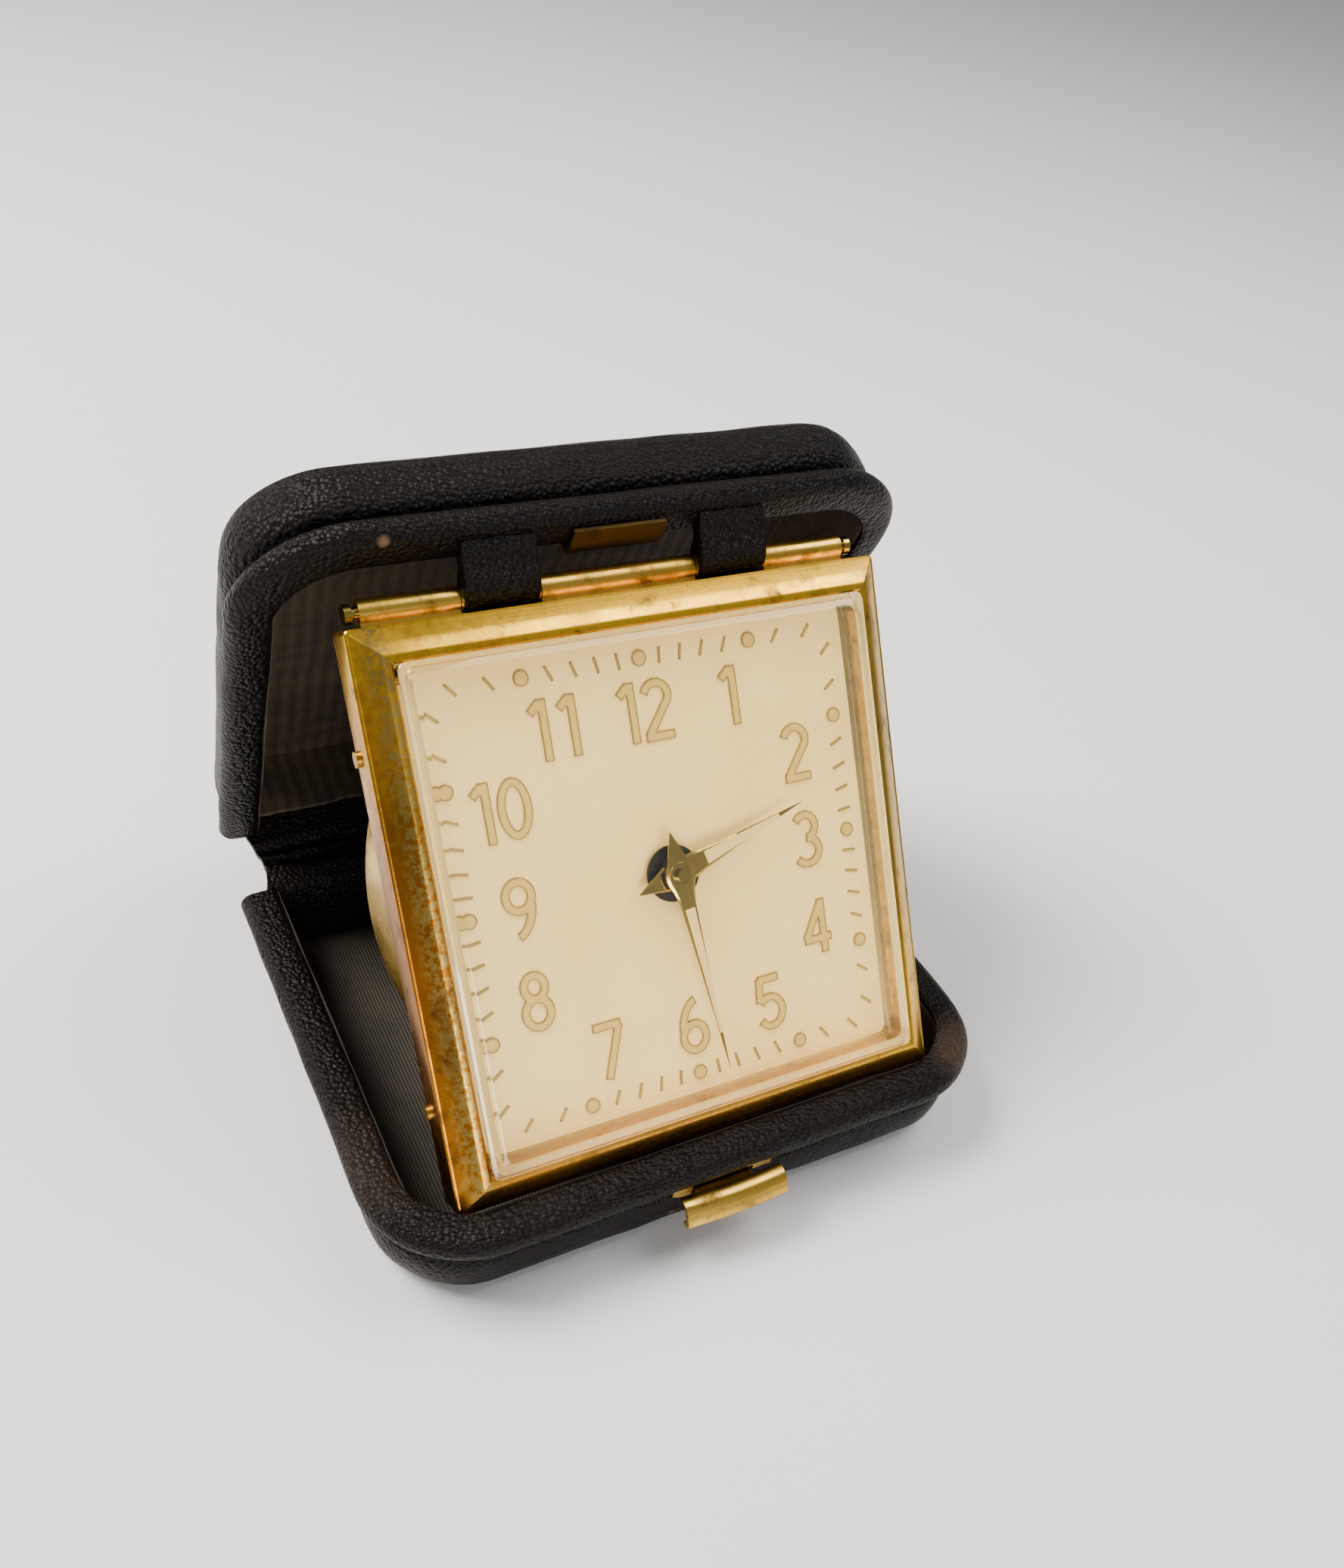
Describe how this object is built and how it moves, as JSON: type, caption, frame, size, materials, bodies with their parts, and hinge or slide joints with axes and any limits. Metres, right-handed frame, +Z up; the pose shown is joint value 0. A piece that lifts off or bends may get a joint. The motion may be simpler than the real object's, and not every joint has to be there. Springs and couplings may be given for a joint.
{
  "type": "folding travel alarm clock",
  "caption": "Square brass alarm clock hinged inside a folding leather-covered clamshell travel case that opens into a tent-shaped stand.",
  "frame": {"origin": "middle of the open base's underside, on the resting surface", "axes": "+Z up, the dial and the clasp face -Y, +X to the right seen from the front"},
  "size_m": [0.0854, 0.0867, 0.0767],
  "materials": {
    "leather": "pebbled, padded, semi-gloss",
    "leather_spine": "creased",
    "lining_base": "worn moire cloth",
    "lining_lid": "ribbed moire cloth",
    "brass": "lacquered, patinated",
    "brass_plate": "satin",
    "gilt": "embossed gilt",
    "steel": "turned",
    "pin_steel": "bright",
    "blue_steel": "blued",
    "dial": "matte champagne",
    "crystal": "thick clear acrylic",
    "dark": "dark brown"
  },
  "bodies": {
    "base": {"base_shell": "leather", "base_rim": "leather", "base_lining": "lining_base", "clasp_plate": "brass", "spine_leather": "leather_spine"},
    "clasp": {"clasp_button": "brass"},
    "lid": {"lid_shell": "leather", "lid_rim": "leather", "lid_lining": "lining_lid", "lid_tabs": "leather", "lid_knuckles": "brass", "hinge_pin": "pin_steel", "catch_plate": "brass"},
    "clock": {"bezel": "brass", "crystal": "crystal", "dial": "dial", "dial_numerals": "gilt", "dial_dots": "gilt", "dial_ticks": "gilt", "head_knuckles": "brass", "side_studs": "brass", "back_frame": "brass", "front_plate": "brass_plate", "back_plate": "brass_plate", "pillars": "brass_plate", "back_cover": "brass", "cover_screws": "brass_plate"},
    "minute": {"minute_hand": "gilt", "centre_arbor": "steel", "cannon_pinion": "steel", "centre_pinion": "steel", "centre_wheel": "brass_plate", "time_set_knob": "brass"},
    "hour": {"hour_wheel": "brass_plate", "hour_hand": "gilt"},
    "minute_work": {"minute_wheel": "brass_plate"},
    "alarm_set": {"alarm_wheel": "brass_plate", "alarm_disc": "dark"},
    "alarm_setter": {"alarm_set_pinion": "brass_plate", "alarm_set_knob": "brass"},
    "third": {"third_wheel": "brass_plate"},
    "fourth": {"fourth_wheel": "brass_plate"},
    "escape": {"escape_wheel": "brass_plate"},
    "pallet": {"pallet_fork": "steel"},
    "balance": {"balance_wheel": "brass_plate", "hairspring": "blue_steel"},
    "time_drum": {"time_barrel": "brass_plate", "time_mainspring": "blue_steel"},
    "time_wind": {"time_arbor": "steel", "time_key": "brass"},
    "time_wing": {"time_key_wing": "brass"},
    "alarm_drum": {"alarm_barrel": "brass_plate", "alarm_mainspring": "blue_steel"},
    "alarm_wind": {"alarm_arbor": "steel", "alarm_key": "brass"},
    "alarm_wing": {"alarm_key_wing": "brass"},
    "hammer": {"alarm_hammer": "steel"},
    "stop": {"stop_lever": "brass"},
    "regulator": {"regulator": "brass_plate"}
  },
  "joints": [
    {"name": "clasp_press", "type": "slide", "parent": "base", "child": "clasp", "axis": [0, 1, 0], "range_m": [0, 0.0012], "stiffness_N_per_m": 300},
    {"name": "lid_fold", "type": "hinge", "parent": "base", "child": "lid", "pos_m": [0, 0.041, 0.0142], "axis": [1, 0, 0], "range_deg": [-17, 0], "deforming": ["spine_leather"]},
    {"name": "clock_fold", "type": "hinge", "parent": "lid", "child": "clock", "pos_m": [0, 0.01566, 0.06497], "axis": [1, 0, 0], "range_deg": [0, 36.59]},
    {"name": "minute_spin", "type": "hinge", "parent": "clock", "child": "minute", "pos_m": [0, 0.00107, 0.0331], "axis": [0, 0.8214, -0.5703], "continuous": true},
    {"name": "hour_spin", "type": "hinge", "parent": "clock", "child": "hour", "pos_m": [0, 0.00107, 0.0331], "axis": [0, 0.8214, -0.5703], "continuous": true},
    {"name": "minute_work_spin", "type": "hinge", "parent": "clock", "child": "minute_work", "pos_m": [-0.00679, 0.00495, 0.03867], "axis": [0, 0.8214, -0.5703], "continuous": true},
    {"name": "third_spin", "type": "hinge", "parent": "clock", "child": "third", "pos_m": [-0.00359, 0.0067, 0.0412], "axis": [0, 0.8214, -0.5703], "continuous": true},
    {"name": "fourth_spin", "type": "hinge", "parent": "clock", "child": "fourth", "pos_m": [0.00078, 0.01102, 0.04743], "axis": [0, 0.8214, -0.5703], "continuous": true},
    {"name": "escape_spin", "type": "hinge", "parent": "clock", "child": "escape", "pos_m": [0.00953, 0.01102, 0.04743], "axis": [0, 0.8214, -0.5703], "continuous": true},
    {"name": "time_drum_spin", "type": "hinge", "parent": "clock", "child": "time_drum", "pos_m": [-0.01269, -0.00156, 0.0293], "axis": [0, 0.8214, -0.5703], "continuous": true},
    {"name": "alarm_spin", "type": "hinge", "parent": "clock", "child": "alarm_set", "pos_m": [0, 0.00107, 0.0331], "axis": [0, 0.8214, -0.5703], "continuous": true},
    {"name": "alarm_setter_spin", "type": "hinge", "parent": "clock", "child": "alarm_setter", "pos_m": [0.00998, 0.00436, 0.03783], "axis": [0, 0.8214, -0.5703], "continuous": true},
    {"name": "pallet_rock", "type": "hinge", "parent": "clock", "child": "pallet", "pos_m": [0.01365, 0.00823, 0.0434], "axis": [0, 0.8214, -0.5703], "range_deg": [-4, 4]},
    {"name": "balance_swing", "type": "hinge", "parent": "clock", "child": "balance", "pos_m": [0.019, 0.0045, 0.03803], "axis": [0, 0.8214, -0.5703], "range_deg": [-135, 135]},
    {"name": "time_winding", "type": "hinge", "parent": "clock", "child": "time_wind", "pos_m": [-0.01269, -0.00156, 0.0293], "axis": [0, 0.8214, -0.5703], "continuous": true},
    {"name": "alarm_drum_spin", "type": "hinge", "parent": "clock", "child": "alarm_drum", "pos_m": [0.009, -0.00748, 0.02078], "axis": [0, 0.8214, -0.5703], "continuous": true},
    {"name": "alarm_winding", "type": "hinge", "parent": "clock", "child": "alarm_wind", "pos_m": [0.009, -0.00748, 0.02078], "axis": [0, 0.8214, -0.5703], "continuous": true},
    {"name": "time_wing_fold", "type": "hinge", "parent": "time_wind", "child": "time_wing", "pos_m": [-0.01269, 0.00473, 0.02494], "axis": [-1, 0, 0], "range_deg": [0, 90]},
    {"name": "alarm_wing_fold", "type": "hinge", "parent": "alarm_wind", "child": "alarm_wing", "pos_m": [0.009, -0.0012, 0.01641], "axis": [-1, 0, 0], "range_deg": [0, 90]},
    {"name": "hammer_strike", "type": "hinge", "parent": "clock", "child": "hammer", "pos_m": [-0.024, 0.0045, 0.03803], "axis": [0, 0.8214, -0.5703], "range_deg": [-3, 4]},
    {"name": "stop_turn", "type": "hinge", "parent": "clock", "child": "stop", "pos_m": [0.02, -0.00121, 0.02981], "axis": [0, 0.8214, -0.5703], "range_deg": [-25, 25]},
    {"name": "regulator_turn", "type": "hinge", "parent": "clock", "child": "regulator", "pos_m": [0.019, 0.0045, 0.03803], "axis": [0, 0.8214, -0.5703], "range_deg": [-15, 15]}
  ],
  "couplings": [
    {"joint": "clock_fold", "follows": "lid_fold", "ratio": -2.1524},
    {"joint": "hour_spin", "follows": "minute_spin", "ratio": 0.083333},
    {"joint": "minute_work_spin", "follows": "minute_spin", "ratio": -0.33333},
    {"joint": "time_drum_spin", "follows": "minute_spin", "ratio": -0.25},
    {"joint": "third_spin", "follows": "minute_spin", "ratio": -6},
    {"joint": "fourth_spin", "follows": "minute_spin", "ratio": 36},
    {"joint": "escape_spin", "follows": "minute_spin", "ratio": -216},
    {"joint": "alarm_spin", "follows": "alarm_setter_spin", "ratio": -0.5}
  ]
}
